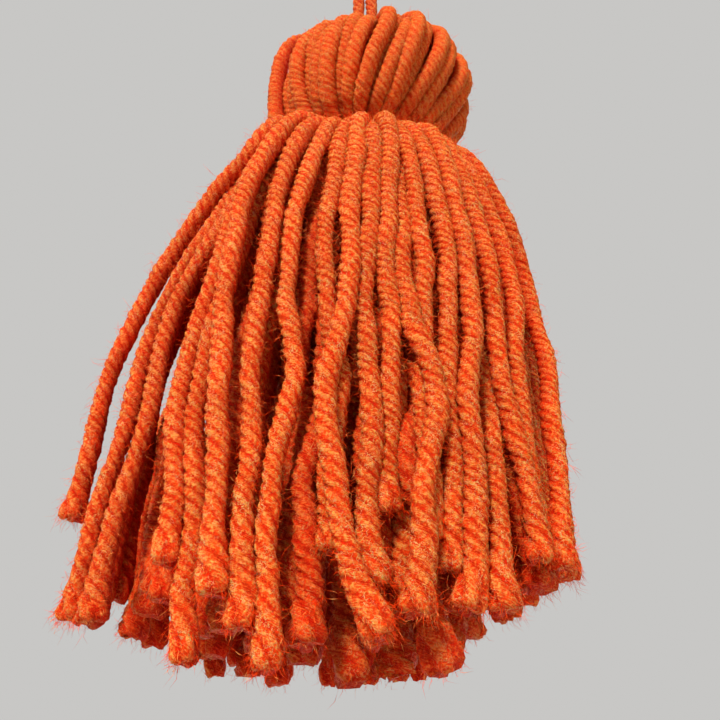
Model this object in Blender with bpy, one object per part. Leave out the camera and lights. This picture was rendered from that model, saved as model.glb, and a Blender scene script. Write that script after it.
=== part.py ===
"""Yarn tassel that hangs by a doubled yarn.

Metres, +Z up, the front facing -Y. The origin is the inside of the hanging loop's top,
so the whole tassel hangs below it. Three sub-parts: the tassel itself, whose head is one
ridged solid with the skirt's strands rooted in it, the yarn bound round its neck, and the
doubled yarn it hangs by.
"""
import math
import random

import bmesh
import bpy
from mathutils import Vector
from mathutils.geometry import interpolate_bezier

# Driving sizes
TIE_RISE = 0.045
TIE_YARN = 0.0022
HEAD_HIGH = 0.034
HEAD_WIDE = 0.0374
NECK_RADIUS = 0.0075
BINDING_YARN = 0.0020
BINDING_WRAPS = 2
SKIRT_ROOT = 0.012
GAP = 0.0003

# Heights that follow from them
HEAD_TOP = -TIE_RISE
NECK = HEAD_TOP - HEAD_HIGH
HALF_BINDING = BINDING_WRAPS * BINDING_YARN / 2

# The skirt's bell: how far it would reach from the axis, how soon it spreads and how deep it
# hangs below the neck, at eight turns round the axis. Turn 0 is the front, 90 the right.
BELL = (
    # turn, reach, ease, drop
    (0, 0.0330, 0.030, 0.088),
    (45, 0.0312, 0.015, 0.087),
    (90, 0.0260, 0.0021, 0.077),
    (135, 0.0280, 0.006, 0.080),
    (180, 0.0325, 0.010, 0.086),
    (225, 0.0340, 0.012, 0.085),
    (270, 0.0415, 0.013, 0.082),
    (315, 0.0395, 0.021, 0.086),
)
BELL_CURVE = 0.42
DROP_UNEVEN = 0.003

# The skirt's layers of strands, from the outside in
LAYERS = (
    # strands, share of the bell's reach
    (43, 1.0),
    (34, 0.80),
    (24, 0.59),
    (13, 0.38),
    (6, 0.19),
)
STRAND_ROOT_WIDE = 0.0018
STRAND_END_WIDE = 0.0025
STRAND_STEPS = 5

# The head's outline, from the dimple that the tie comes out of to the neck, as shares of the
# head's half width and of its height below its top
HEAD_PROFILE = (
    # out, down
    (0.17, 0.22),
    (0.22, 0.10),
    (0.42, 0.09),
    (0.66, 0.17),
    (0.86, 0.29),
    (0.98, 0.44),
    (1.00, 0.54),
    (0.94, 0.68),
    (0.78, 0.83),
)
HEAD_RIDGES = 36
RIDGE = 0.0005
HEAD_SLANT = 32
HEAD_LEAN = 0.0030
HEAD_LIFT = 0.0072

# The loop of yarn that stands off the head's left: out from the axis, up from the neck
LOOSE_LOOP_TURN = 280
LOOSE_LOOP_WIDE = 0.0028
LOOSE_LOOP = (
    # out, up
    (0.0058, 0.0285),
    (0.0080, 0.0335),
    (0.0114, 0.0340),
    (0.0153, 0.0317),
    (0.0174, 0.0250),
    (0.0177, 0.0135),
    (0.0162, 0.0088),
    (0.0110, 0.0085),
)

# The hanging loop at the tie's top
LOOP_OUT = 0.0052
LOOP_FOOT = 0.020


def material(name, colour, roughness):
    """A plain yarn-coloured surface."""
    made = bpy.data.materials.new(name)
    made.use_nodes = True
    surface = made.node_tree.nodes["Principled BSDF"]
    surface.inputs["Base Color"].default_value = (*colour, 1.0)
    surface.inputs["Roughness"].default_value = roughness
    surface.inputs["Metallic"].default_value = 0.0
    return made


def finish(shape, name, skin):
    """One named object with its own material."""
    shape.materials.append(skin)
    made = bpy.data.objects.new(name, shape)
    bpy.context.collection.objects.link(made)
    return made


def mesh_from(bm, name):
    """The finished faces as a mesh, every one facing out."""
    bmesh.ops.recalc_face_normals(bm, faces=bm.faces)
    mesh = bpy.data.meshes.new(name)
    bm.to_mesh(mesh)
    bm.free()
    return mesh


def around(turn, column):
    """A value of the BELL table at any turn, eased between its rows."""
    sector = (turn % 360) / (360 / len(BELL))
    low = BELL[int(sector) % len(BELL)][column]
    high = BELL[(int(sector) + 1) % len(BELL)][column]
    part = sector - int(sector)
    return low + (high - low) * part * part * (3 - 2 * part)


def bell(turn, depth):
    """Distance of the skirt's outer strands from the axis, at a depth below the neck."""
    below_binding = max(depth - HALF_BINDING, 0)
    part = 1 - math.exp(-((below_binding / around(turn, 2)) ** BELL_CURVE))
    return NECK_RADIUS + (around(turn, 1) - NECK_RADIUS) * part


def place(turn, out, height):
    """A point at a turn round the axis, a distance from it and a height."""
    angle = math.radians(turn)
    return Vector((out * math.sin(angle), -out * math.cos(angle), height))


def loft(bm, rings):
    """Faces between rings of points; the rows of corners come back for the ends."""
    rows = [[bm.verts.new(point) for point in ring] for ring in rings]
    for upper, lower in zip(rows, rows[1:]):
        for side in range(len(upper)):
            after = (side + 1) % len(upper)
            bm.faces.new((upper[side], upper[after], lower[after], lower[side]))
    return rows


def fan(bm, row, height):
    """A flat fan of triangles from the axis that closes a ring."""
    middle = bm.verts.new((0, 0, height))
    for side, corner in enumerate(row):
        bm.faces.new((corner, row[(side + 1) % len(row)], middle))


def add_strand(bm, route, turn, wide_at):
    """A four-sided strand along a route, one flat side facing out of the tassel."""
    across = place(turn + 90, 1, 0)
    rings = []
    for step, point in enumerate(route):
        before = route[max(step - 1, 0)]
        after = route[min(step + 1, len(route) - 1)]
        along = (after - before).normalized()
        side = (across - along * across.dot(along)).normalized()
        front = side.cross(along)
        half = wide_at(step / (len(route) - 1)) / 2
        corners = ((1, 1), (-1, 1), (-1, -1), (1, -1))
        rings.append([point + side * half * a + front * half * b for a, b in corners])
    rows = loft(bm, rings)
    bm.faces.new(rows[0])
    bm.faces.new(rows[-1])


def skirt_width(part):
    """A skirt strand is pressed thin at its root and full from its middle on."""
    return STRAND_ROOT_WIDE + (STRAND_END_WIDE - STRAND_ROOT_WIDE) * min(1, 2 * part)


def add_skirt_strand(bm, turn, share, chance):
    """One cut strand of the skirt, from its root inside the shoulder to its free end."""
    root = SKIRT_ROOT - 0.003
    drop = around(turn, 3) + chance.uniform(-DROP_UNEVEN, DROP_UNEVEN)
    drift = chance.uniform(-0.8, 0.8)
    route = []
    for step in range(STRAND_STEPS + 1):
        part = step / STRAND_STEPS
        depth = root + (drop - root) * part
        route.append(place(turn + drift * part, share * bell(turn, depth), NECK - depth))
    add_strand(bm, route, turn, skirt_width)


def smooth_line(knots, steps):
    """A smooth line through the knots, with that many steps from each to the next."""
    line = []
    for number in range(len(knots) - 1):
        start, stop = knots[number], knots[number + 1]
        before = knots[max(number - 1, 0)]
        after = knots[min(number + 2, len(knots) - 1)]
        leave = start + (stop - before) / 6
        reach = stop - (after - start) / 6
        line += interpolate_bezier(start, leave, reach, stop, steps + 1)[:-1]
    return line + [knots[-1]]


def add_loose_loop(bm):
    """The loop of yarn that stands off the head's left, both ends sunk in the head."""
    knots = [place(LOOSE_LOOP_TURN, out, NECK + up) for out, up in LOOSE_LOOP]
    add_strand(bm, smooth_line(knots, 2), LOOSE_LOOP_TURN, lambda part: LOOSE_LOOP_WIDE)


def build_strands():
    """Every free strand in one mesh, which the tassel's solid is joined with."""
    chance = random.Random(7)
    bm = bmesh.new()
    for layer, (count, share) in enumerate(LAYERS):
        for number in range(count):
            turn = 360 * (number + 0.5 * (layer % 2)) / count
            add_skirt_strand(bm, turn, share, chance)
    add_loose_loop(bm)
    guide = bpy.data.objects.new("free_strands", mesh_from(bm, "free_strands"))
    bpy.context.collection.objects.link(guide)
    guide.hide_render = True
    guide.display_type = "WIRE"
    return guide


def ridged_ring(radius_at, height, ridge, slant):
    """A level ring with a crest and a valley for each yarn on the outside."""
    points = []
    for side in range(2 * HEAD_RIDGES):
        turn = 180 * side / HEAD_RIDGES - slant
        rise = ridge if side % 2 == 0 else -ridge
        points.append(place(turn, radius_at(turn) + rise, height))
    return points


def head_rings():
    """The head's rings: slanted yarns, leaning to the right, with higher loops there."""
    rings = []
    for out, down in HEAD_PROFILE:
        radius = out * HEAD_WIDE / 2
        ridge = RIDGE * min(1, out / 0.6)
        height = HEAD_TOP - down * HEAD_HIGH
        ring = ridged_ring(lambda turn: radius, height, ridge, HEAD_SLANT * (down - 0.5))
        for point in ring:
            outward = max(0, out - HEAD_PROFILE[1][0])
            point.z += HEAD_LIFT * (1 - down) * max(0, point.x) / radius * outward
            point.x += HEAD_LEAN * outward
        rings.append(ring)
    return rings


def shoulder_ring(depth, ridge):
    """A ring of the skirt's fused roots, just outside its outer strands."""
    cover = STRAND_ROOT_WIDE / 2
    return ridged_ring(lambda turn: bell(turn, depth) + cover, NECK - depth, ridge, HEAD_SLANT / 2)


def build_tassel(skin):
    """The head, the neck and the fused roots as one ridged solid, joined with the strands."""
    groove = HALF_BINDING + GAP
    rings = head_rings()
    rings.append(ridged_ring(lambda turn: NECK_RADIUS, NECK + groove, 0, HEAD_SLANT / 2))
    rings.append(ridged_ring(lambda turn: NECK_RADIUS, NECK - groove, 0, HEAD_SLANT / 2))
    rings.append(shoulder_ring(groove + 0.0015, RIDGE))
    rings.append(shoulder_ring(groove + 0.0045, RIDGE))
    rings.append(shoulder_ring(SKIRT_ROOT, RIDGE))
    bm = bmesh.new()
    rows = loft(bm, rings)
    fan(bm, rows[0], HEAD_TOP - HEAD_PROFILE[0][1] * HEAD_HIGH)
    fan(bm, rows[-1], NECK - SKIRT_ROOT)
    tassel = finish(mesh_from(bm, "tassel"), "tassel", skin)
    join = tassel.modifiers.new("rooted strands", "BOOLEAN")
    join.operation = "UNION"
    join.solver = "EXACT"
    join.object = build_strands()
    return tassel


def build_binding(skin):
    """The wraps round the neck: a ring whose outside bulges once for each wrap."""
    inner = NECK_RADIUS + GAP
    half = BINDING_YARN / 2
    outline = [(inner, -HALF_BINDING), (inner, HALF_BINDING)]
    for wrap in range(BINDING_WRAPS):
        middle = HALF_BINDING - half - wrap * BINDING_YARN
        for angle in (60, 20, -20, -60):
            turned = math.radians(angle)
            outline.append((inner + half + half * math.cos(turned), middle + half * math.sin(turned)))
    segments = 36
    bm = bmesh.new()
    rings = []
    for segment in range(segments + 1):
        turn = 360 * (segment % segments) / segments
        rings.append([place(turn, out, NECK + up) for out, up in outline])
    loft(bm, rings)
    bmesh.ops.remove_doubles(bm, verts=bm.verts, dist=0.00001)
    return finish(mesh_from(bm, "neck_binding"), "neck_binding", skin)


def tie_route():
    """The tie's centreline: up beside itself, round the loop at the top and down again."""
    beside = TIE_YARN / 2 + GAP
    bottom = HEAD_TOP - HEAD_PROFILE[0][1] * HEAD_HIGH + GAP
    arch_middle = TIE_YARN / 2 - LOOP_OUT
    up = [Vector((-beside, 0, bottom)), Vector((-beside, 0, (bottom - LOOP_FOOT) / 2))]
    up += interpolate_bezier(
        Vector((-beside, 0, -LOOP_FOOT)),
        Vector((-beside, 0, -LOOP_FOOT + 0.006)),
        Vector((-LOOP_OUT, 0, arch_middle - 0.007)),
        Vector((-LOOP_OUT, 0, arch_middle)),
        5,
    )
    arch = []
    for step in range(1, 8):
        angle = math.pi * (1 - step / 8)
        arch.append(Vector((math.cos(angle), 0, math.sin(angle))) * LOOP_OUT)
        arch[-1].z += arch_middle
    down = [Vector((-point.x, 0, point.z)) for point in reversed(up)]
    return up + arch + down


def build_tie(skin):
    """The doubled yarn that the tassel hangs by."""
    curve = bpy.data.curves.new("hanging_tie", "CURVE")
    curve.dimensions = "3D"
    curve.bevel_depth = TIE_YARN / 2
    curve.bevel_resolution = 2
    curve.use_fill_caps = True
    route = tie_route()
    spline = curve.splines.new("POLY")
    spline.points.add(len(route) - 1)
    for point, knot in zip(route, spline.points):
        knot.co = (*point, 1.0)
    return finish(curve, "hanging_tie", skin)


def main():
    for old in list(bpy.data.objects):
        bpy.data.objects.remove(old, do_unlink=True)
    build_tassel(material("orange_yarn", (0.75, 0.10, 0.02), 0.85))
    build_binding(material("binding_yarn", (0.70, 0.09, 0.02), 0.85))
    build_tie(material("tie_yarn", (0.72, 0.10, 0.02), 0.85))


main()
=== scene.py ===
"""Yarn tassel on its hanging tie, dressed with four-ply yarn, loose fibres and soft studio light.

Metres, +Z up, the front facing -Y. A turn of 0 is the front of the tassel and 90 its right side.
"""
import math
import random
from collections import namedtuple

import bpy
import numpy as np
from mathutils import Matrix, Vector, kdtree
from mathutils.geometry import interpolate_bezier


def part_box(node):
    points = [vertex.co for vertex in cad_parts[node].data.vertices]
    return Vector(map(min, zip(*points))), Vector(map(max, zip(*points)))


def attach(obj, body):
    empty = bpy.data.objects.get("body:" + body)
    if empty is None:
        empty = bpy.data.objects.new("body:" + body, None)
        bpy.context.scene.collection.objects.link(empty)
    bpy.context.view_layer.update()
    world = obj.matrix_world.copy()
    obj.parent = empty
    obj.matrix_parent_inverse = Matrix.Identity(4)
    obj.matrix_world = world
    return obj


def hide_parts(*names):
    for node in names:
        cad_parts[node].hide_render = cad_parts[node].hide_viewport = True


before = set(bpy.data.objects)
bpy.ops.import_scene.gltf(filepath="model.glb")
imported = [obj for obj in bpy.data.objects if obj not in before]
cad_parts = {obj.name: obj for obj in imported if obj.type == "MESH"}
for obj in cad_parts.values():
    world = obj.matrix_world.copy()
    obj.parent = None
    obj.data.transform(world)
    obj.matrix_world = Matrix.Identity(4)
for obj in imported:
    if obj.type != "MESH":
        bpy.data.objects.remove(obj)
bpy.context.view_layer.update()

# Sizes that the tassel is built to
TIE_YARN = 0.0022
HEAD_HIGH = 0.034
HEAD_WIDE = 0.0374
NECK_RADIUS = 0.0075
BINDING_YARN = 0.0020
GAP = 0.0003
binding_low, binding_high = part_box("neck_binding")
NECK = (binding_low.z + binding_high.z) / 2
HALF_BINDING = (binding_high.z - binding_low.z) / 2
HEAD_TOP = NECK + HEAD_HIGH
BODY = "root"

# The tie's loop: half its width, how far below the mount its sides begin to part, the handles of
# the curve there and at the arch, and how much fuller than its thickness the yarn is drawn
LOOP_OUT = 0.0052
LOOP_FOOT = 0.020
FOOT_HANDLE = 0.006
ARCH_HANDLE = 0.007
TIE_FULL = 1.17

# The binding, in degrees: its whole length, where it steps down to the second wrap and over how
# many. Its ends are tucked in, over how many degrees and how deep
BINDING_TURNS = 720
STEP_DOWN_FROM = 320
STEP_DOWN_OVER = 80
TUCK_OVER = 14
TUCK_DEEP = 0.0012

# Each yarn has a number, which gives it a shade and a twist of its own. The first of each kind:
FIRST_NUMBERS = {"tie": 1, "binding": 2, "skirt": 10, "head": 200, "head_inner": 260, "loop": 300}

# The camera: left of the axis, in front of it, below the neck, its tilt in degrees and its lens
CAMERA_LEFT = 0.0011
CAMERA_FRONT = 0.1023
CAMERA_BELOW = 0.101
CAMERA_TILT = 120
CAMERA_LENS = 36.9

# The yarn: four plies twisted together, each ply a ridge along it, one whole twist in each ply
# turn. A ply valley is the share of the yarn's half width that is left between two ridges
YARN = 0.0028
PLIES = 4
PLY_VALLEY = 0.84
PLY_TURN = 0.0066
HEAD_PLY_VALLEY = 0.92
UNEVEN = 0.00045
TWIST_WAVES = (
    # most, radians a metre, start for each number: how much tighter or looser the twist is
    (0.45, 310, 1.0),
    (0.25, 730, 2.3),
)
WAVE_STARTS = (0, 6.28)

# A cut end: how far up it the plies part, and how far short of the strand's end each one stops.
# Its last rings are crowded and drawn in, its plies swell and its valleys deepen by these shares,
# all of it less in plain yarn, which has few sides
FRAY = 0.0045
TUFTS = (0.0, 0.0006, 0.0002, 0.0004)
CUT_CROWDED = 1.3
CUT_RINGS = (0.02, 0.68, 0.94)
CUT_CREST = 0.14
CUT_VALLEY = 0.26
CUT_VALLEY_SHORT = 0.0003
CUT_TIP_SHORT = 0.0004
RAGGED = 0.6
RAGGED_PLAIN = 0.3
PLAIN_SIDES = 8

# The skirt's bell: how far it would reach from the axis, how soon it spreads and how deep it
# hangs below the neck, at eight turns round the axis
BELL = (
    # turn, reach, ease, drop
    (0, 0.0330, 0.030, 0.088),
    (45, 0.0312, 0.015, 0.0795),
    (90, 0.0260, 0.0021, 0.077),
    (135, 0.0280, 0.006, 0.080),
    (180, 0.0325, 0.010, 0.086),
    (225, 0.0340, 0.012, 0.085),
    (270, 0.0380, 0.013, 0.0785),
    (315, 0.0380, 0.021, 0.0765),
)
_, REACHES, EASES, DROPS = zip(*BELL)
BELL_CURVE = 0.42

# How deep the skirt's middle hangs, how much deeper the inner strands end, and at which turn
MIDDLE_DROP = 0.089
INNER_DEEPER = 0.0035
DEEPER_TURN = -45

# The strands that show from the front, roughly from left to right: the turn at each depth below
# the neck in millimetres, how far out it lies there as a share of the bell, and the depth of its
# cut end. In the neck itself the turn is a share of the first one
FRONT_DEPTHS = (12, 30, 45, 60, 75, 90)
FRONT_SHARE_DEPTHS = (0.012, 0.050, 0.090)
FRONT_STRANDS = (
    # name, turn at 12, at 30, at 45, at 60, at 75, at 90, share at 12, at 50, at 90, end
    ("far_left", -44, -67, -70, -72, -73, -73, 1.05, 1.18, 1.16, 72),
    ("left_two", -48, -58, -68, -65, -65, -69, 0.98, 1.08, 1.11, 85),
    ("left_three", -46, -51, -61, -57, -58, -58, 0.98, 1.04, 1.08, 86),
    ("left_four", -42, -44, -47, -48, -43, -40, 0.97, 0.99, 1.01, 81),
    ("left_five", -41, -42, -44, -43, -39, -35, 0.94, 0.96, 0.97, 91),
    ("left_over", -34, -37, -36, -33, -31, -25, 1.09, 1.05, 1.03, 85),
    ("middle_one", -29, -30, -28, -28, -26, -23, 1.00, 1.00, 1.00, 88),
    ("middle_two", -20, -23, -22, -19, -21, -20, 1.00, 1.00, 1.01, 92),
    ("middle_three", -10, -13, -12, -9, -9, -9, 1.00, 0.99, 0.94, 80),
    ("middle_four", -2, -6, -5, -9, -8, 3, 1.01, 1.04, 1.04, 89),
    ("middle_five", 2, 1, -1, 0, 0, 3, 1.00, 1.00, 0.99, 84),
    ("middle_six", 9, 8, 6, 6, 4, 3, 1.00, 0.99, 0.93, 76),
    ("middle_seven", 17, 18, 16, 15, 13, 12, 1.00, 0.98, 0.92, 79),
    ("middle_over", 13, 12, 9, 17, 11, 8, 0.85, 0.99, 1.06, 87),
    ("middle_inner", 10, 10, 9, 9, 9, 8, 0.84, 0.86, 0.88, 86),
    ("left_inner", -33, -33, -32, -32, -32, -31, 0.82, 0.85, 0.87, 84),
    ("right_one", 26, 26, 24, 22, 20, 18, 1.00, 0.99, 0.94, 82),
    ("right_two", 34, 33, 31, 26, 24, 17, 1.00, 1.01, 1.01, 86),
    ("right_inner", 40, 38, 37, 36, 31, 29, 0.84, 0.90, 1.02, 86),
    ("right_three", 43, 42, 40, 39, 41, 39, 1.00, 1.00, 1.01, 80),
    ("right_four", 54, 60, 51, 47, 45, 44, 1.00, 0.99, 0.93, 76),
    ("far_right", 63, 76, 70, 58, 52, 46, 1.07, 1.06, 1.02, 80),
    ("right_behind", 72, 80, 78, 73, 69, 66, 0.90, 0.92, 0.93, 79),
)
NECK_TURN_SHARE = 0.92

# The strands round the sides and the back: how many, and the first and last turn. They and the
# inner ones drift to the side and outward, by random amounts that they reach at these depths
SIDE_STRANDS = 25
SIDE_FROM = 82
SIDE_TO = 278
DRIFT_DEPTH = 0.09
LIFT_DEPTH = 0.05

# Where a strand starts, inside the neck. From this share of the binding's half height on it follows
# the bell, in so many steps, which are crowded at the neck by this power
ROOT = (
    # out, up from the neck
    (0.0045, 0.004),
    (0.0062, 0.001),
)
ROUTE_FROM = 0.6
ROUTE_STEPS = 110
ROUTE_CROWDED = 1.6

# A strand's slow wander to the side and in and out, in waves along it. It grows from one depth
# below the neck over a length, and goes this far for each kind of strand, less in and out
WANDER_WAVES = (
    # radians a metre, share
    (190, 1.0),
    (370, 0.6),
    (820, 0.3),
)
SWELL_WAVES = (
    # radians a metre, share
    (170, 1.0),
    (330, 0.6),
)
SWAY_FROM = 0.012
SWAY_OVER = 0.03
FRONT_SWAY = 0.00035
SIDE_SWAY = 0.0006
INNER_SWAY = 0.0008
IN_AND_OUT = 0.6
STRAND_SPACING = 0.0024

# A strand's width: swollen below the neck by a share and over a depth, flared over its last
# points, and uneven by a share, in waves along it
SWOLLEN = 0.22
SWOLLEN_OVER = 0.045
FLARE_POINTS = 3.5
LUMPY = 0.055
WIDTH_WAVES = (
    # radians a point, share
    (1.1, 1.0),
    (0.43, 0.7),
)

# Where yarns are pressed together near the axis: the least share of their width, how far out it
# ends, and over how far they grow from it to their full width
SKIRT_PRESSED = (0.34, 0.005, 0.0105)
HEAD_PRESSED = (0.40, 0.0042, 0.008)

# The layers of strands under the outer one, from the outside in
INNER_LAYERS = (
    # strands, turn of the first, share of the bell's reach
    (32, 0, 0.86),
    (22, 8, 0.66),
    (13, 22, 0.45),
    (5, 10, 0.24),
)

# How the yarn of each group of strands is made: how full it is, how far its cut end flares, how
# firm it stands against its neighbours, how much of its colour is spared the painted shade, and its loose
# fibres
Group = namedtuple("Group", "name sides steps length full flare firm light fibres at_end")
SKIRT_GROUPS = (
    # name, sides, steps a turn, length, full, flare, firm, light, fibres a metre, at the end
    Group("front", 20, 14, 0.098, 0.94, 0.26, 4.0, 1.0, 13000, 300),
    Group("side_and_back", 12, 10, 0.092, 0.94, 0.45, 2.0, 1.0, 4500, 120),
    Group("first_inner", 12, 10, 0.092, 1.05, 0.42, 1.0, 0.45, 1000, 220),
    Group("inner", 8, 8, 0.092, 1.20, 0.42, 1.0, 0.45, 500, 100),
)

# No strand is moved by its neighbours until this far below the neck. Further down, each round moves
# two points apart by a share of what they overlap, unless they are at the same spot
SKIRT_HELD = 0.006
EASE = 0.6
SAME_SPOT = 0.000001

# The line of a yarn over the head, from inside the dimple to the neck, as shares of the head's
# half width and of its height
HEAD_LINE = (
    # out, down
    (0.27, 0.28),
    (0.26, 0.215),
    (0.31, 0.18),
    (0.36, 0.17),
    (0.50, 0.20),
    (0.64, 0.245),
    (0.80, 0.325),
    (0.90, 0.43),
    (0.92, 0.53),
    (0.90, 0.63),
    (0.82, 0.735),
    (0.66, 0.845),
    (0.42, 0.93),
    (0.34, 1.02),
)
HEAD_YARNS = 42
HEAD_INNER_YARNS = 24
HEAD_INNER_SHARE = 0.80
HEAD_STEPS = 60
HEAD_SPACING = 0.0022

# The head's yarns slant by so many degrees from its top to the neck, and waver by a few. Outside
# its dimple the head leans to the right, its right shoulder is higher and its top dips in front
HEAD_SLANT = 32
HEAD_WAVER = 1.5
HEAD_DIMPLE = 0.21
HEAD_LEAN = 0.0030
HEAD_LIFT = 0.0072
HEAD_DIP = 0.0017
DIP_TURN = -6
DIP_SPREAD = 28

# Every third yarn of the head is tucked in, from this share of its height down, and further
# between two turns
TUCK_LEAST = 0.0010
TUCK_MOST = 0.0028
TUCK_FROM = 0.35
TUCK_MORE = 1.7
TUCK_MORE_TURNS = (30, 110)

# How full the head's yarns are: between two turns they are fuller and run together
HEAD_FULL = 1.12
MERGED_FULL = 1.22
MERGED_TURNS = (275, 350)
HEAD_INNER_FULL = 1.32
LOOSE_LOOP_FULL = 1.2

# The sides of the head's yarn, its loose fibres a metre, and how much of the inner yarns' colour is spared
# the painted shade inside the head
HEAD_SIDES = 16
HEAD_FIBRES = 3000
HEAD_INNER_LIGHT = 0.45

# Where the head's yarns part, by how many degrees, and how far round it is felt
GROOVE_SPREAD = 14
HEAD_GROOVES = (
    # turn, opening
    (-4, 4),
    (38, 4),
    (58, 3),
    (80, 3),
    (160, 3),
    (255, 3),
)

# The loop of yarn that stands off the head's left: out from the axis, up from the neck
LOOSE_LOOP_TURN = 280
LOOSE_LOOP = (
    # out, up
    (0.0040, 0.0300),
    (0.0075, 0.0345),
    (0.0114, 0.0338),
    (0.0153, 0.0317),
    (0.0174, 0.0250),
    (0.0177, 0.0135),
    (0.0167, 0.0078),
    (0.0120, 0.0048),
    (0.0075, 0.0040),
)

# Loose fibres: their thickness, their mean length and how deep they are rooted. More are tried
# than are kept, because none stands on a yarn's inner side. So many rings count as the cut end
FIBRE_WIDE = 0.000044
FIBRE_LONG = 0.0010
FIBRE_ROOTED = 0.00012
FIBRE_TRIES = 1.5
INNER_SIDE = -0.35
END_RINGS = 7

# How open to the light a yarn's side lies that faces across, and how much more so its outer one.
# Where a side faces the tassel's middle, the yarn's colour is multiplied by the tint, a painted shade
OPEN_ACROSS = 0.5
OPEN_OUTWARD = 0.6
PAINTED_SHADE_TINT = (0.80, 0.15, 0.045, 1)

# How far the floor lies below the neck, how bright the air shines and how bright it looks
FLOOR_BELOW = 0.24
AIR_SHINES = 0.47
AIR_LOOKS = 0.62
LIGHTS = (
    # name, place that it shines from, width in degrees, strength, colour
    ("key_light", (-0.26, -0.74, 0.60), 10, 4.8, (1.0, 0.96, 0.90)),
    ("fill_light", (0.60, -0.75, 0.20), 40, 0.4, (1.0, 0.95, 0.90)),
    ("back_light", (0.30, 0.80, 0.50), 40, 0.9, (1.0, 1.0, 1.0)),
)


def none_selected():
    """Nothing selected and no object open for editing."""
    if bpy.context.object and bpy.context.object.mode != "OBJECT":
        bpy.ops.object.mode_set(mode="OBJECT")
    bpy.ops.object.select_all(action="DESELECT")


def only(piece):
    """The piece alone selected and active."""
    none_selected()
    piece.select_set(True)
    bpy.context.view_layer.objects.active = piece


def place(turn, out, height):
    """A point at a turn round the axis, a distance from it and a height."""
    angle = math.radians(turn)
    return Vector((out * math.sin(angle), -out * math.cos(angle), height))


def around(turn, values):
    """A value at any turn, eased between those that are given at even turns round the axis."""
    sector = (turn % 360) / (360 / len(values))
    low = values[int(sector) % len(values)]
    high = values[(int(sector) + 1) % len(values)]
    part = sector - int(sector)
    return low + (high - low) * part * part * (3 - 2 * part)


def bell(turn, depth):
    """Distance of the skirt's outer strands from the axis, at a depth below the neck."""
    below_binding = max(depth - HALF_BINDING, 0)
    part = 1 - math.exp(-((below_binding / around(turn, EASES)) ** BELL_CURVE))
    return NECK_RADIUS + (around(turn, REACHES) - NECK_RADIUS) * part


def smooth_value(where, places, values):
    """A value read from a smooth curve through given values at given places."""
    if where <= places[0]:
        return values[0]
    if where >= places[-1]:
        return values[-1]
    at = max(i for i in range(len(places) - 1) if places[i] <= where)
    before = max(at - 1, 0)
    after = min(at + 2, len(places) - 1)
    span = places[at + 1] - places[at]
    part = (where - places[at]) / span
    slope_in = (values[at + 1] - values[before]) / (places[at + 1] - places[before]) * span
    slope_out = (values[after] - values[at]) / (places[after] - places[at]) * span
    square, cube = part * part, part ** 3
    held = values[at] * (2 * cube - 3 * square + 1) + values[at + 1] * (3 * square - 2 * cube)
    return held + slope_in * (cube - 2 * square + part) + slope_out * (cube - square)


def evenly(points, spacing):
    """The same line with its points evenly spaced along it."""
    far = [0.0]
    for before, after in zip(points, points[1:]):
        far.append(far[-1] + (after - before).length)
    count = max(2, round(far[-1] / spacing))
    line = []
    at = 0
    for step in range(count + 1):
        target = far[-1] * step / count
        while at < len(points) - 2 and far[at + 1] < target:
            at += 1
        part = (target - far[at]) / (far[at + 1] - far[at])
        line.append(points[at].lerp(points[at + 1], min(1, part)))
    return line


# The camera, where the photograph was taken from

def add_camera():
    spot = (-CAMERA_LEFT, -CAMERA_FRONT, NECK - CAMERA_BELOW)
    bpy.ops.object.camera_add(location=spot, rotation=(math.radians(CAMERA_TILT), 0, 0))
    camera = bpy.context.object
    camera.name = "photo_camera"
    camera.data.sensor_width = 36
    camera.data.lens = CAMERA_LENS
    camera.data.clip_start = 0.005
    camera.data.clip_end = 20
    bpy.context.scene.camera = camera


# The yarn's own shape

def ply_crest(turn):
    """How far up a ply's back a place on a four-ply yarn's outside lies, from 0 to 1."""
    return abs(math.sin(PLIES / 2 * turn)) ** 0.6


def straight_yarn(name, sides, steps, length, thick=YARN, valley=PLY_VALLEY, cut_end=True):
    """A straight length of four-ply yarn up Z, with its surface map, ready to be bent."""
    turns = max(1, round(length / PLY_TURN))
    none_selected()
    bpy.ops.mesh.primitive_circle_add(vertices=sides, radius=1)
    yarn = bpy.context.object
    yarn.name = name
    for corner in yarn.data.vertices:
        turn = math.atan2(corner.co.y, corner.co.x)
        corner.co = corner.co.normalized() * (valley + (1 - valley) * ply_crest(turn)) * thick / 2
    twist = yarn.modifiers.new("twist of the plies", "SCREW")
    twist.axis = "Z"
    twist.angle = -2 * math.pi
    twist.iterations = turns
    twist.screw_offset = length / turns
    twist.steps = twist.render_steps = steps
    twist.use_smooth_shade = True
    twist.merge_threshold = 0.00001
    bpy.ops.object.modifier_apply(modifier=twist.name)
    map_yarn(yarn.data, sides)
    round_end(yarn.data, sides, 0, 1)
    if cut_end:
        fray_end(yarn.data, sides, steps, length / turns / steps)
    else:
        round_end(yarn.data, sides, len(yarn.data.vertices) // sides - 1, -1)
    close_ends(yarn, sides)
    return yarn


def map_yarn(mesh, sides):
    """A surface map: across is counted in plies round the yarn, along in centimetres."""
    layer = mesh.uv_layers.new(name="yarn")
    for face in mesh.polygons:
        columns = [corner % sides for corner in face.vertices]
        over_seam = 0 in columns and sides - 1 in columns
        for loop, corner, column in zip(face.loop_indices, face.vertices, columns):
            across = sides if over_seam and column == 0 else column
            layer.data[loop].uv = (across * PLIES / sides, mesh.vertices[corner].co.z * 100)


def round_end(mesh, sides, last, inward):
    """The rings near a tucked-in end drawn in to a blunt end."""
    rings = (
        # rings from the end, share of the width, distance from the end
        (0, 0.02, 0.00000),
        (1, 0.62, 0.00000),
        (2, 0.93, 0.00012),
    )
    end = mesh.vertices[last * sides].co.z
    for back, share, distance in rings:
        for corner in mesh.vertices[(last + back * inward) * sides:(last + back * inward + 1) * sides]:
            corner.co.x *= share
            corner.co.y *= share
            corner.co.z = end + inward * distance


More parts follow.
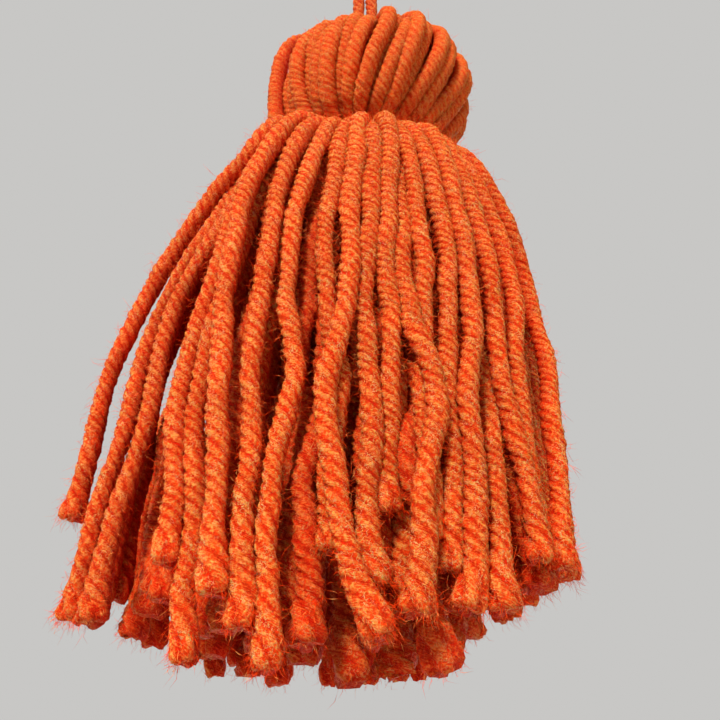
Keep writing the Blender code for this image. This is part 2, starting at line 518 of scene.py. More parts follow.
def fray_end(mesh, sides, steps, rise):
    """A cut end: the twist loosens, and the plies part, swell and end at their own lengths."""
    last = len(mesh.vertices) // sides - 1
    end = mesh.vertices[last * sides].co.z
    loose = max(5, round(FRAY / rise))
    ragged = RAGGED if sides > PLAIN_SIDES else RAGGED_PLAIN
    for back in range(loose):
        parted = 1 - back / loose
        tip = CUT_RINGS[back] if back < len(CUT_RINGS) else 1
        untwist = 2 * math.pi / steps * (loose - back) ** 2 / (2 * loose)
        up = max(0, back - CUT_CROWDED * parted) * rise
        for column, corner in enumerate(mesh.vertices[(last - back) * sides:(last - back + 1) * sides]):
            crest = ply_crest(column * 2 * math.pi / sides + math.pi / 2)
            spread = tip * (1 + parted * (CUT_CREST * crest - CUT_VALLEY * ragged * (1 - crest)))
            short = TUFTS[column * PLIES // sides] + CUT_VALLEY_SHORT * (1 - crest)
            short *= parted * ragged
            flat = Vector((corner.co.x, corner.co.y)) * spread
            flat.rotate(Matrix.Rotation(untwist, 2))
            corner.co = (flat.x, flat.y, end - up - short if back else end - CUT_TIP_SHORT)


def close_ends(yarn, sides):
    """Each end ring merged to a point, and every face turned out."""
    for first in (len(yarn.data.vertices) - sides, 0):
        only(yarn)
        bpy.ops.object.mode_set(mode="EDIT")
        bpy.ops.mesh.select_mode(type="VERT")
        bpy.ops.mesh.select_all(action="DESELECT")
        bpy.ops.object.mode_set(mode="OBJECT")
        for corner in yarn.data.vertices[first:first + sides]:
            corner.select = True
        bpy.ops.object.mode_set(mode="EDIT")
        bpy.ops.mesh.merge(type="CENTER")
        bpy.ops.object.mode_set(mode="OBJECT")
    bpy.ops.object.mode_set(mode="EDIT")
    bpy.ops.mesh.select_all(action="SELECT")
    bpy.ops.mesh.normals_make_consistent(inside=False)
    bpy.ops.object.mode_set(mode="OBJECT")


def bend(straight, route, widths, number, most_open=1.0):
    """A copy of a straight yarn, laid along a route with a width at each point."""
    line = bpy.data.curves.new("route", "CURVE")
    line.dimensions = "3D"
    line.use_stretch = True
    line.use_deform_bounds = True
    spline = line.splines.new("POLY")
    spline.points.add(len(route) - 1)
    for knot, point, wide in zip(spline.points, route, widths):
        knot.co = (*point, 1.0)
        knot.radius = wide
    guide = bpy.data.objects.new("route", line)
    bpy.context.collection.objects.link(guide)
    yarn = straight.copy()
    yarn.data = straight.data.copy()
    bpy.context.collection.objects.link(yarn)
    shift_map(yarn.data, number)
    vary_twist(yarn.data, number)
    follow = yarn.modifiers.new("along the route", "CURVE")
    follow.object = guide
    follow.deform_axis = "POS_Z"
    only(yarn)
    bpy.ops.object.modifier_apply(modifier=follow.name)
    lumps = bpy.data.textures.new("lumps", "CLOUDS")
    lumps.noise_scale = 0.0012
    lumps.noise_depth = 1
    uneven = yarn.modifiers.new("soft unevenness", "DISPLACE")
    uneven.texture = lumps
    uneven.texture_coords = "LOCAL"
    uneven.strength = UNEVEN
    bpy.ops.object.modifier_apply(modifier=uneven.name)
    bpy.data.textures.remove(lumps)
    bpy.data.objects.remove(guide)
    bpy.data.curves.remove(line)
    mark_painted_shade(yarn, route, most_open)
    return yarn


def corner_spots(mesh):
    """The places of a mesh's corners, one row each."""
    spots = np.empty(len(mesh.vertices) * 3, np.float32)
    mesh.vertices.foreach_get("co", spots)
    return spots.reshape(-1, 3)


def unit(ways):
    """Rows of directions, each made one long."""
    return ways / (np.linalg.norm(ways, axis=1, keepdims=True) + 1e-9)


def vary_twist(mesh, number):
    """The twist made tighter here and looser there along a straight yarn."""
    spots = corner_spots(mesh)
    turned = sum(most * np.sin(spots[:, 2] * rate + start * number) for most, rate, start in TWIST_WAVES)
    cosine, sine = np.cos(turned), np.sin(turned)
    right, back = spots[:, 0].copy(), spots[:, 1].copy()
    spots[:, 0] = right * cosine - back * sine
    spots[:, 1] = right * sine + back * cosine
    mesh.vertices.foreach_set("co", spots.reshape(-1))


def shift_map(mesh, number):
    """Each yarn's map starts at its own whole number of turns, which gives it its own shade."""
    layer = mesh.uv_layers["yarn"].data
    values = np.empty(len(layer) * 2, np.float32)
    layer.foreach_get("uv", values)
    values[0::2] += PLIES * number
    layer.foreach_set("uv", values)


def joined(yarns, name, finish):
    """Several yarns joined into one piece that rides on the body."""
    none_selected()
    for yarn in yarns:
        yarn.select_set(True)
    bpy.context.view_layer.objects.active = yarns[0]
    bpy.ops.object.join()
    return dressed(yarns[0], name, finish)


def dressed(piece, name, finish):
    """A finished piece with its name, material, slot and body."""
    piece.name = name
    piece.data.name = name
    piece.data.materials.clear()
    piece.data.materials.append(finish)
    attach(piece, BODY)
    return piece


# Routes of the skirt's strands

def waves_at(where, waves, starts):
    """The sum of some waves at one place along them, each with its own start."""
    return sum(share * math.sin(where * rate + start) for (rate, share), start in zip(waves, starts))


def strand_route(turn_at, share_at, end, chance, sway):
    """Points down a strand, from inside the neck to its cut end, with a slow wander."""
    phase = [chance.uniform(*WAVE_STARTS) for _ in range(4)]
    points = [place(turn_at(0), out * share_at(0), NECK + up) for out, up in ROOT]
    first = HALF_BINDING * ROUTE_FROM
    for step in range(ROUTE_STEPS + 1):
        depth = first + (end - first) * (step / ROUTE_STEPS) ** ROUTE_CROWDED
        grown = min(1, max(0, depth - SWAY_FROM) / SWAY_OVER)
        wander = waves_at(depth, WANDER_WAVES, phase)
        swell = waves_at(depth, SWELL_WAVES, phase[2:])
        turn = turn_at(depth)
        out = share_at(depth) * bell(turn, depth) - YARN / 3 * (1 - grown)
        out += sway * IN_AND_OUT * grown * swell
        sideways = math.degrees(sway * grown * wander / out)
        points.append(place(turn + sideways, out, NECK - depth))
    return evenly(points, STRAND_SPACING)


def pressed(point, least, held, over):
    """The share of a yarn's width that is left where yarns are pressed together near the axis."""
    out = math.hypot(point.x, point.y)
    return min(1, least + (1 - least) * max(0, out - held) / over)


def strand_widths(route, chance, group):
    """Width of a strand at each point: pressed thin in the neck, swollen below it, flared at its end."""
    phase = chance.uniform(*WAVE_STARTS)
    full = group.full + chance.uniform(-0.06, 0.06)
    brush = group.flare * chance.uniform(0.6, 1.4)
    widths = []
    for number, point in enumerate(route):
        swollen = 1 + SWOLLEN * max(0, 1 - (NECK - point.z) / SWOLLEN_OVER)
        flared = 1 + brush * max(0, 1 - (len(route) - 1 - number) / FLARE_POINTS)
        lumps = 1 + LUMPY * waves_at(number, WIDTH_WAVES, (phase, 2 * phase))
        widths.append(full * pressed(point, *SKIRT_PRESSED) * swollen * flared * lumps)
    return widths


def front_routes(chance):
    """Routes of the strands that the table names."""
    depths = [0] + [depth / 1000 for depth in FRONT_DEPTHS]
    routes = []
    for _, first_turn, *numbers, end in FRONT_STRANDS:
        turns = [first_turn * NECK_TURN_SHARE, first_turn] + numbers[:-len(FRONT_SHARE_DEPTHS)]
        shares = numbers[-len(FRONT_SHARE_DEPTHS):]
        routes.append(strand_route(
            lambda depth: smooth_value(depth, depths, turns),
            lambda depth: smooth_value(depth, FRONT_SHARE_DEPTHS, shares),
            end / 1000, chance, FRONT_SWAY))
    return routes


def ring_routes(count, first, last, share, sway, deeper, chance):
    """Routes of strands spaced round the axis, each a little out of true, and deeper at one turn."""
    routes = []
    for number in range(count):
        start = first + (last - first) * number / max(1, count - 1) + chance.uniform(-2, 2)
        drift = chance.uniform(-5, 5)
        lift = chance.uniform(-0.03, 0.03)
        end = share * around(start, DROPS) + (1 - share) * MIDDLE_DROP + chance.uniform(-0.0025, 0.0025)
        end += deeper * math.cos(math.radians(start - DEEPER_TURN))
        routes.append(strand_route(
            lambda depth: start + drift * depth / DRIFT_DEPTH,
            lambda depth: share + lift * depth / LIFT_DEPTH,
            end, chance, sway))
    return routes


# Routes of the head's yarns

def head_route(turn, share, slant, lift, tuck, chance):
    """Points over the head, from inside the dimple down to the neck; tuck draws its lower part in."""
    half = HEAD_WIDE / 2
    places = [number / (len(HEAD_LINE) - 1) for number in range(len(HEAD_LINE))]
    outs, downs = zip(*HEAD_LINE)
    wave = chance.uniform(*WAVE_STARTS)
    for groove, opening in HEAD_GROOVES:
        away = (turn - groove + 180) % 360 - 180
        turn += math.copysign(opening * math.exp(-abs(away) / GROOVE_SPREAD), away)
    front = (turn + 180) % 360 - 180
    points = []
    for step in range(HEAD_STEPS + 1):
        part = step / HEAD_STEPS
        out = smooth_value(part, places, outs)
        down = smooth_value(part, places, downs)
        outward = max(0, out - HEAD_DIMPLE)
        radius = out * half * (1 - (1 - share) * min(1, outward * 3)) + lift * math.sin(math.pi * part)
        radius -= tuck * max(0, math.sin(math.pi * (down - TUCK_FROM) / (1 - TUCK_FROM)))
        drop = down + (1 - share) * 0.5 * (1 - down)
        turned = turn + slant * (0.5 - down) + HEAD_WAVER * math.sin(4 * part + wave)
        point = place(turned, radius, HEAD_TOP - drop * HEAD_HIGH)
        point.z += HEAD_LIFT * (1 - down) * max(0, point.x) / half * outward / max(out, 0.3)
        point.z -= HEAD_DIP * (1 - down) * math.exp(-((front - DIP_TURN) / DIP_SPREAD) ** 2)
        point.x += HEAD_LEAN * outward
        points.append(point)
    return evenly(points, HEAD_SPACING)


def head_full(number):
    """How full a yarn of the head is: fuller where they run together, and fullest inside."""
    if number >= HEAD_YARNS:
        return HEAD_INNER_FULL
    first, last = MERGED_TURNS
    return MERGED_FULL if first < 360 * number / HEAD_YARNS < last else HEAD_FULL


def head_widths(route, full):
    """Width of a head yarn at each point: pressed at the neck and where it meets the tie."""
    return [full * pressed(point, *HEAD_PRESSED) for point in route]


def loose_loop_route():
    """The loop of yarn that stands off the head's left."""
    places = list(range(len(LOOSE_LOOP)))
    outs, ups = zip(*LOOSE_LOOP)
    points = []
    for step in range(HEAD_STEPS + 1):
        part = step / HEAD_STEPS * places[-1]
        out = smooth_value(part, places, outs)
        points.append(place(LOOSE_LOOP_TURN, out, NECK + smooth_value(part, places, ups)))
    return evenly(points, HEAD_SPACING)


def settle(routes, widths, firm, held_above=math.inf, rounds=14, space=0.92):
    """Presses yarns apart where they would lie in each other, a firm one moving less.

    Space is the share of their width that they keep clear. Above held_above nothing moves.
    """
    owner = [n for n, route in enumerate(routes) for _ in route]
    points = [point.copy() for route in routes for point in route]
    radii = [wide * YARN / 2 * space for row in widths for wide in row]
    starts = [sum(len(route) for route in routes[:n]) for n in range(len(routes) + 1)]
    reach = 2 * max(radii)
    for _ in range(rounds):
        near = kdtree.KDTree(len(points))
        for number, point in enumerate(points):
            near.insert(point, number)
        near.balance()
        moves = [Vector((0, 0, 0)) for _ in points]
        for number, point in enumerate(points):
            if point.z > held_above:
                continue
            for other, index, distance in near.find_range(point, reach):
                if owner[index] == owner[number]:
                    continue
                clear = radii[number] + radii[index]
                if distance >= clear or distance < SAME_SPOT:
                    continue
                share = firm[owner[index]] / (firm[owner[index]] + firm[owner[number]])
                moves[number] += (point - other) / distance * (clear - distance) * share * EASE
        for start, stop in zip(starts, starts[1:]):
            for number in range(start, stop):
                before = moves[max(number - 1, start)]
                after = moves[min(number + 1, stop - 1)]
                points[number] += (before + moves[number] * 2 + after) / 4
    return [points[start:stop] for start, stop in zip(starts, starts[1:])]


# Painted shade: how open each side of a yarn lies to the light, kept for the colour to darken

def mark_painted_shade(yarn, route, most):
    """Keeps on every corner how far it faces away from the tassel's middle, up to a most, as the mask of
    the painted shade.
    """
    spots = corner_spots(yarn.data)
    line = np.array([tuple(point) for point in route])
    nearest = ((spots[:, None, :] - line[None]) ** 2).sum(axis=2).argmin(axis=1)
    outward = (unit(spots - line[nearest]) * unit(spots * (1, 1, 0))).sum(axis=1)
    unshaded_share = np.clip(OPEN_ACROSS + OPEN_OUTWARD * outward, 0, 1) * most
    mark = yarn.data.attributes.new("unshaded_share", "FLOAT", "POINT")
    mark.data.foreach_set("value", unshaded_share.astype(np.float32))


# Loose fibres on the yarn

def fibre_roots(yarn, sides, per_metre, at_end, luck):
    """Random places on a yarn's surface: point, way out and way along, more at the cut end."""
    spots = corner_spots(yarn.data)
    rings = (len(spots) - 2) // sides
    spots = spots[1:1 + rings * sides] if len(spots) % sides else spots[:rings * sides]
    spots = spots.reshape(rings, sides, 3)
    middles = spots.mean(axis=1)
    ways = np.gradient(middles, axis=0)
    long = np.linalg.norm(ways, axis=1).sum()
    count = int(long * per_metre * FIBRE_TRIES)
    ring = np.concatenate([luck.integers(0, rings, count), luck.integers(rings - END_RINGS, rings, at_end)])
    onward = np.concatenate([np.zeros((count, 1)), luck.uniform(0.3, 3.0, (at_end, 1))])
    side = luck.integers(0, sides, len(ring))
    spot = spots[ring, side]
    out = unit(spot - middles[ring])
    along = unit(ways[ring])
    shows = (out * unit(middles[ring] * (1, 1, 0))).sum(axis=1) > INNER_SIDE
    return spot[shows], out[shows], along[shows], onward[shows]


def fibre_piece(name, roots, finish, luck):
    """Thin fibres with a bend in the middle, each a closed sliver, pointed at both ends."""
    spot, out, along, onward = (np.concatenate(part).astype(np.float64) for part in zip(*roots))
    count = len(spot)
    across = np.cross(out, along)
    long = FIBRE_LONG * np.clip(luck.gamma(1.8, 1 / 1.8, (count, 1)), 0.2, 3.2)
    lean_out = luck.uniform(0.10, 0.95, (count, 1))
    lean_along = luck.normal(0.2, 0.9, (count, 1)) + onward
    lean_across = luck.normal(0, 0.7, (count, 1))
    first = unit(out * lean_out + along * lean_along + across * lean_across)
    second = unit(first + luck.normal(0, 0.6, (count, 3)))
    middle = spot + first * long * 0.5
    side = unit(np.cross(first, luck.normal(0, 1, (count, 3))))
    other = np.cross(first, side)
    wide = FIBRE_WIDE * luck.uniform(0.7, 1.3, (count, 1)) / 2
    corners = np.empty((count, 5, 3))
    corners[:, 0] = spot - out * FIBRE_ROOTED
    for number in range(3):
        angle = number * 2 * math.pi / 3
        corners[:, 1 + number] = middle + (side * math.cos(angle) + other * math.sin(angle)) * wide
    corners[:, 4] = middle + second * long * 0.5
    sliver = []
    for number in range(3):
        after = (number + 1) % 3
        sliver += [(0, 1 + after, 1 + number), (1 + number, 1 + after, 4)]
    faces = (np.array(sliver)[None] + 5 * np.arange(count)[:, None, None]).reshape(-1, 3)
    mesh = bpy.data.meshes.new(name)
    mesh.vertices.add(count * 5)
    mesh.vertices.foreach_set("co", corners.reshape(-1))
    mesh.loops.add(len(faces) * 3)
    mesh.loops.foreach_set("vertex_index", faces.reshape(-1).astype(np.int32))
    mesh.polygons.add(len(faces))
    mesh.polygons.foreach_set("loop_start", np.arange(0, len(faces) * 3, 3, dtype=np.int32))
    mesh.update(calc_edges=True)
    mesh.validate()
    piece = bpy.data.objects.new(name, mesh)
    bpy.context.collection.objects.link(piece)
    dressed(piece, name, finish)


# Materials

def link_or_set(tree, value, socket):
    if isinstance(value, bpy.types.NodeSocket):
        tree.links.new(value, socket)
    else:
        socket.default_value = value


def set_inputs(node, values):
    """A node's inputs set by their names."""
    for name, value in values.items():
        node.inputs[name].default_value = value


def new_material(name):
    """A new material with its node tree and its surface node."""
    made = bpy.data.materials.new(name)
    made.use_nodes = True
    return made, made.node_tree, made.node_tree.nodes["Principled BSDF"]


def computed(tree, operation, first, second=0.0):
    """A Math node's result."""
    node = tree.nodes.new("ShaderNodeMath")
    node.operation = operation
    link_or_set(tree, first, node.inputs[0])
    link_or_set(tree, second, node.inputs[1])
    return node.outputs[0]


def weighed(tree, first, second, share):
    """The sum of two values, of which the second has this share and the first the rest."""
    rest = computed(tree, "MULTIPLY", first, 1 - share)
    return computed(tree, "ADD", rest, computed(tree, "MULTIPLY", second, share))


def speckle(tree, vector, scale, detail, rough=0.5):
    """A Noise Texture's value."""
    node = tree.nodes.new("ShaderNodeTexNoise")
    set_inputs(node, {"Scale": scale, "Detail": detail, "Roughness": rough})
    tree.links.new(vector, node.inputs["Vector"])
    return node.outputs["Fac"]


def shaded(tree, value, low, high, to_low=0.0, to_high=1.0):
    """A Map Range node: low to high becomes to_low to to_high, and no further."""
    node = tree.nodes.new("ShaderNodeMapRange")
    set_inputs(node, {"From Min": low, "From Max": high, "To Min": to_low, "To Max": to_high})
    tree.links.new(value, node.inputs["Value"])
    return node.outputs["Result"]


def blended(tree, amount, first, second, kind="MIX"):
    """A colour between two, or one multiplied by the other."""
    node = tree.nodes.new("ShaderNodeMix")
    node.data_type = "RGBA"
    node.blend_type = kind
    node.clamp_result = False
    link_or_set(tree, amount, node.inputs[0])
    link_or_set(tree, first, node.inputs[6])
    link_or_set(tree, second, node.inputs[7])
    return node.outputs[2]


def yarn_material(name, crest, body, valley, painted_glint):
    """Spun orange yarn: fibres that run along it, a painted shade in the furrows between plies and a
    painted highlight on their crests, painted glints on fine hairs, a painted shade on sides facing the
    tassel's middle, and a soft sheen.
    """
    made, tree, surface = new_material(name)
    own_map = tree.nodes.new("ShaderNodeUVMap")
    own_map.uv_map = "yarn"
    parts = tree.nodes.new("ShaderNodeSeparateXYZ")
    tree.links.new(own_map.outputs["UV"], parts.inputs[0])
    across, along = parts.outputs["X"], parts.outputs["Y"]
    here = tree.nodes.new("ShaderNodeTexCoord").outputs["Object"]

    rise = computed(tree, "ABSOLUTE", computed(tree, "SINE", computed(tree, "MULTIPLY", across, math.pi)))
    lie = computed(tree, "ADD", across, computed(tree, "MULTIPLY", along, PLIES / (PLY_TURN * 100)))
    fibre_place = tree.nodes.new("ShaderNodeCombineXYZ")
    tree.links.new(computed(tree, "MULTIPLY", lie, 9.0), fibre_place.inputs[0])
    tree.links.new(computed(tree, "MULTIPLY", along, 11.0), fibre_place.inputs[1])
    streak = speckle(tree, fibre_place.outputs[0], scale=1, detail=3, rough=0.6)
    curl = speckle(tree, here, scale=2600, detail=2, rough=0.6)
    drift = speckle(tree, here, scale=160, detail=3)
    fuzz = shaded(tree, weighed(tree, streak, curl, 0.55), 0.42, 0.60)

    # Ply crests are painted lighter, up to the crest colour as a painted highlight, and furrows painted
    # darker towards the valley colour as a painted shade; the fibre streaks mixed in are the yarn's own
    # tone
    ply_light_and_fibres = weighed(tree, rise, fuzz, 0.57)
    colour = blended(tree, shaded(tree, ply_light_and_fibres, 0.15, 0.56), valley, body)
    colour = blended(tree, shaded(tree, ply_light_and_fibres, 0.50, 0.86), colour, crest)
    past_seam = computed(tree, "ADD", across, 0.001)
    number = computed(tree, "FLOOR", computed(tree, "DIVIDE", past_seam, PLIES))
    own = tree.nodes.new("ShaderNodeTexWhiteNoise")
    own.noise_dimensions = "1D"
    tree.links.new(number, own.inputs["W"])
    shade = shaded(tree, own.outputs["Value"], 0.0, 1.0, 0.90, 1.06)
    shade = computed(tree, "MULTIPLY", shade, shaded(tree, drift, 0.3, 0.7, 0.90, 1.08))
    tone = tree.nodes.new("ShaderNodeCombineColor")
    for socket in tone.inputs:
        tree.links.new(shade, socket)
    colour = blended(tree, 1.0, colour, tone.outputs[0], "MULTIPLY")
    # Fine curly hairs, coloured with the glint colour as a painted highlight; they also roughen the bump
    off_middle = computed(tree, "SUBTRACT", speckle(tree, here, scale=1700, detail=2), 0.5)
    hair_and_glint = shaded(tree, computed(tree, "ABSOLUTE", off_middle), 0.0, 0.032, 1.0, 0.0)
    where_hair = shaded(tree, speckle(tree, here, scale=620, detail=1), 0.46, 0.60)
    hair_and_glint = computed(tree, "MULTIPLY", hair_and_glint, where_hair)
    colour = blended(tree, computed(tree, "MULTIPLY", hair_and_glint, 0.85), colour, painted_glint)
    # Sides that face the tassel's middle are multiplied by the tint: a painted shade
    own_side = tree.nodes.new("ShaderNodeAttribute")
    own_side.attribute_name = "unshaded_share"
    unshaded_share = shaded(tree, own_side.outputs["Fac"], 0.10, 0.80)
    painted_shade_colour = blended(tree, 1.0, colour, PAINTED_SHADE_TINT, "MULTIPLY")
    tree.links.new(blended(tree, unshaded_share, painted_shade_colour, colour), surface.inputs["Base Color"])

    tree.links.new(shaded(tree, fuzz, 0.0, 1.0, 0.80, 0.42), surface.inputs["Roughness"])
    set_inputs(surface, {
        "Specular IOR Level": 0.25,
        "Specular Tint": (1.0, 0.45, 0.18, 1.0),
        "Subsurface Weight": 0.45,
        "Subsurface Radius": (1.0, 0.16, 0.03),
        "Subsurface Scale": 0.0016,
        "Sheen Weight": 0.08,
        "Sheen Roughness": 0.45,
        "Sheen Tint": (1.0, 0.35, 0.12, 1.0),
    })
    bump = tree.nodes.new("ShaderNodeBump")
    set_inputs(bump, {"Strength": 1.0, "Distance": 0.00028})
    height = computed(tree, "ADD", fuzz, computed(tree, "MULTIPLY", hair_and_glint, 0.5))
    tree.links.new(height, bump.inputs["Height"])
    tree.links.new(bump.outputs["Normal"], surface.inputs["Normal"])
    return made


def fibre_material(name, colour, pale):
    """Single loose fibres, a little glossy, some paler than others."""
    made, tree, surface = new_material(name)
    here = tree.nodes.new("ShaderNodeTexCoord").outputs["Object"]
    patch = shaded(tree, speckle(tree, here, scale=900, detail=2), 0.56, 0.66)
    tree.links.new(blended(tree, patch, colour, pale), surface.inputs["Base Color"])
    set_inputs(surface, {
        "Roughness": 0.5,
        "Specular IOR Level": 0.2,
        "Specular Tint": (1.0, 0.6, 0.3, 1.0),
    })
    return made


# The hanging tie

def tie_route():
    """The tie's centreline: up beside itself, round the loop at the top and down again."""
    beside = TIE_YARN / 2 + GAP
    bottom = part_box("hanging_tie")[0].z
    arch_middle = TIE_YARN / 2 - LOOP_OUT
    up = [Vector((-beside, 0, bottom)), Vector((-beside, 0, (bottom - LOOP_FOOT) / 2))]
    up += interpolate_bezier(
        Vector((-beside, 0, -LOOP_FOOT)),
        Vector((-beside, 0, -LOOP_FOOT + FOOT_HANDLE)),
        Vector((-LOOP_OUT, 0, arch_middle - ARCH_HANDLE)),
        Vector((-LOOP_OUT, 0, arch_middle)),
        5,
    )
    arch = []
    for step in range(1, 8):
        angle = math.pi * (1 - step / 8)
        arch.append(Vector((math.cos(angle), 0, math.sin(angle))) * LOOP_OUT)
        arch[-1].z += arch_middle
    down = [Vector((-point.x, 0, point.z)) for point in reversed(up)]
    return up + arch + down


def line_length(route):
    return sum((after - before).length for before, after in zip(route, route[1:]))


def add_tie(finish):
    """The doubled yarn that the tassel hangs by, one length of yarn."""
    route = tie_route()
    long = line_length(route)
    straight = straight_yarn(
        "straight_tie", sides=16, steps=12, length=long, thick=TIE_YARN, cut_end=False)
    tie = bend(straight, route, [TIE_FULL] * len(route), FIRST_NUMBERS["tie"])
    bpy.data.objects.remove(straight)
    dressed(tie, "hanging_tie_yarn", finish)
    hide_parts("hanging_tie")


# The neck binding

def binding_route():
    """Two wraps of yarn round the neck, its ends tucked in at the back."""
    out = NECK_RADIUS + GAP + BINDING_YARN / 2
    points = []
    for turn in range(0, BINDING_TURNS + 1, 5):
        change = min(1, max(0, (turn - STEP_DOWN_FROM) / STEP_DOWN_OVER))
        height = NECK + BINDING_YARN / 2 * (1 - 2 * change)
        tucked = max(0, 1 - min(turn, BINDING_TURNS - turn) / TUCK_OVER)
        points.append(place(turn + 180, out - TUCK_DEEP * tucked, height))
    return points


def add_binding(finish):
    route = binding_route()
    long = line_length(route)
    straight = straight_yarn(
        "straight_binding", sides=16, steps=10, length=long, thick=BINDING_YARN, cut_end=False)
    binding = bend(straight, route, [1.0] * len(route), FIRST_NUMBERS["binding"])
    bpy.data.objects.remove(straight)
    dressed(binding, "neck_binding_wraps", finish)
    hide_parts("neck_binding")


# The tassel

def add_skirt(finish, fibres):
    chance = random.Random(11)
    luck = np.random.default_rng(12)
    layers = [front_routes(chance)]
    layers.append(ring_routes(SIDE_STRANDS, SIDE_FROM, SIDE_TO, 1.0, SIDE_SWAY, 0, chance))
    for count, first, share in INNER_LAYERS:
        last = first + 360 * (count - 1) / count
        layers.append(ring_routes(count, first, last, share, INNER_SWAY, INNER_DEEPER, chance))
    routes = [route for layer in layers for route in layer]
    deepest = len(SKIRT_GROUPS) - 1
    groups = [SKIRT_GROUPS[min(number, deepest)] for number, layer in enumerate(layers) for _ in layer]
    widths = [strand_widths(route, chance, group) for route, group in zip(routes, groups)]
    routes = settle(routes, widths, [group.firm for group in groups], NECK - SKIRT_HELD)

    straights = {}
    for group in SKIRT_GROUPS:
        straights[group] = straight_yarn("straight_" + group.name, group.sides, group.steps, group.length)
    yarns = []
    for route, wide, group in zip(routes, widths, groups):
        number = FIRST_NUMBERS["skirt"] + len(yarns)
        yarns.append(bend(straights[group], route, wide, number, group.light))
    roots = [fibre_roots(yarn, group.sides, group.fibres, group.at_end, luck)
             for yarn, group in zip(yarns, groups)]
    sides_from = len(layers[0])
    inner_from = sides_from + len(layers[1])
    front = joined(yarns[:sides_from], "skirt_front_strands", finish)
    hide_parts("tassel")
    joined(yarns[sides_from:inner_from], "skirt_side_and_back_strands", finish)
    joined(yarns[inner_from:], "skirt_inner_strands", finish)
    fibre_piece("skirt_front_fibres", roots[:sides_from], fibres, luck)
    fibre_piece("skirt_side_and_back_fibres", roots[sides_from:inner_from], fibres, luck)
    fibre_piece("skirt_inner_fibres", roots[inner_from:], fibres, luck)
    for straight in straights.values():
        bpy.data.objects.remove(straight)


def add_head(finish, fibres):
    chance = random.Random(23)
    luck = np.random.default_rng(24)
    routes = []
    for number in range(HEAD_YARNS):
        turn = 360 * number / HEAD_YARNS + chance.uniform(-2, 2)
        lift = chance.uniform(-0.0006, 0.0009)
        tuck = chance.uniform(TUCK_LEAST, TUCK_MOST) if number % 3 == 1 else 0
        if TUCK_MORE_TURNS[0] < turn < TUCK_MORE_TURNS[1]:
            tuck *= TUCK_MORE
        routes.append(head_route(turn, 1.0, HEAD_SLANT + chance.uniform(-3, 3), lift, tuck, chance))
    for number in range(HEAD_INNER_YARNS):
        turn = 360 * (number + 0.5) / HEAD_INNER_YARNS + chance.uniform(-4, 4)
        routes.append(head_route(turn, HEAD_INNER_SHARE, HEAD_SLANT, 0, 0, chance))
    widths = [head_widths(route, head_full(number)) for number, route in enumerate(routes)]
    firm = [3.0] * HEAD_YARNS + [1.0] * HEAD_INNER_YARNS
    routes = settle(routes, widths, firm, rounds=8, space=0.76)

    as_head = {"valley": HEAD_PLY_VALLEY, "cut_end": False}
    fine = straight_yarn("straight_fine", sides=HEAD_SIDES, steps=9, length=0.060, **as_head)
    plain = straight_yarn("straight_plain", sides=12, steps=8, length=0.055, **as_head)
    outer, inner = [], []
    for route, wide in zip(routes[:HEAD_YARNS], widths):
        outer.append(bend(fine, route, wide, FIRST_NUMBERS["head"] + len(outer)))
    for route, wide in zip(routes[HEAD_YARNS:], widths[HEAD_YARNS:]):
        number = FIRST_NUMBERS["head_inner"] + len(inner)
        inner.append(bend(plain, route, wide, number, HEAD_INNER_LIGHT))
    route = loose_loop_route()
    loop = bend(fine, route, [LOOSE_LOOP_FULL] * len(route), FIRST_NUMBERS["loop"])
    roots = [fibre_roots(yarn, HEAD_SIDES, HEAD_FIBRES, 0, luck) for yarn in outer + [loop]]
    joined(outer, "head_yarns", finish)
    joined(inner, "head_inner_yarns", finish)
    dressed(loop, "head_loose_loop", finish)
    fibre_piece("head_fibres", roots, fibres, luck)
    bpy.data.objects.remove(fine)
    bpy.data.objects.remove(plain)


# Floor, light and air

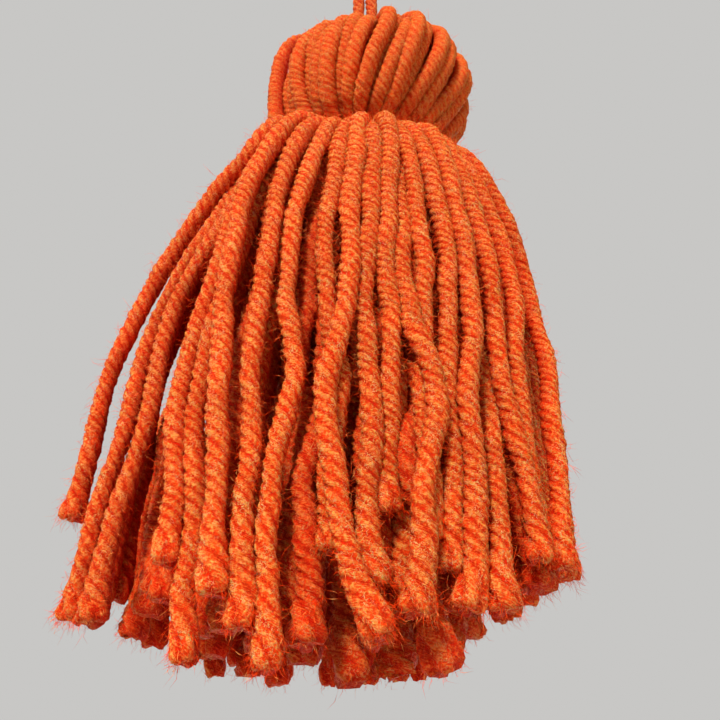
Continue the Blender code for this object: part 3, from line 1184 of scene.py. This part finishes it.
def add_floor():
    none_selected()
    middle = (0, 0, NECK - FLOOR_BELOW)
    bpy.ops.mesh.primitive_circle_add(vertices=96, radius=4, fill_type="NGON", location=middle)
    floor = bpy.context.object
    floor.name = "studio_floor"
    made, _, surface = new_material("pale_floor")
    set_inputs(surface, {"Base Color": (0.46, 0.46, 0.45, 1), "Roughness": 0.9})
    floor.data.materials.append(made)


def add_light(name, shines_from, width, strength, colour):
    """A wide soft light from far off, its width in degrees as the tassel sees it."""
    none_selected()
    bpy.ops.object.light_add(type="SUN", location=shines_from)
    lamp = bpy.context.object
    lamp.name = name
    lamp.data.angle = math.radians(width)
    lamp.data.energy = strength
    lamp.data.color = colour
    lamp.rotation_euler = Vector(shines_from).to_track_quat("Z", "Y").to_euler()


def add_air():
    """Pale air all round, which lights the tassel less brightly than it looks."""
    world = bpy.data.worlds.new("pale_air")
    world.use_nodes = True
    tree = world.node_tree
    air = tree.nodes["Background"]
    set_inputs(air, {"Color": (0.93, 0.92, 0.90, 1)})
    seen = tree.nodes.new("ShaderNodeLightPath").outputs["Is Camera Ray"]
    tree.links.new(shaded(tree, seen, 0.0, 1.0, AIR_SHINES, AIR_LOOKS), air.inputs["Strength"])
    bpy.context.scene.world = world
    bpy.context.scene.view_settings.view_transform = "Standard"


def main():
    # crest is a painted highlight on the plies, valley a painted shade in their furrows, glint a painted
    # highlight on fine hairs
    orange = yarn_material(
        "orange_yarn",
        crest=(1.0, 0.31, 0.068, 1),
        body=(0.88, 0.080, 0.007, 1),
        valley=(0.64, 0.012, 0.001, 1),
        painted_glint=(1.0, 0.62, 0.24, 1),
    )
    # The head's yarn: the same yarn with flatter painted ply shade and highlight, painted lighter all over
    # as painted light
    smooth_painted_lighter_orange = yarn_material(
        "smooth_orange_yarn",
        crest=(1.0, 0.25, 0.050, 1),
        body=(0.98, 0.120, 0.014, 1),
        valley=(0.82, 0.040, 0.004, 1),
        painted_glint=(1.0, 0.36, 0.10, 1),
    )
    loose = fibre_material("loose_orange_fibres", (1.0, 0.055, 0.003, 1), (1.0, 0.38, 0.10, 1))
    add_camera()
    add_tie(orange)
    add_binding(orange)
    add_head(smooth_painted_lighter_orange, loose)
    add_skirt(orange, loose)
    add_floor()
    for row in LIGHTS:
        add_light(*row)
    add_air()


main()
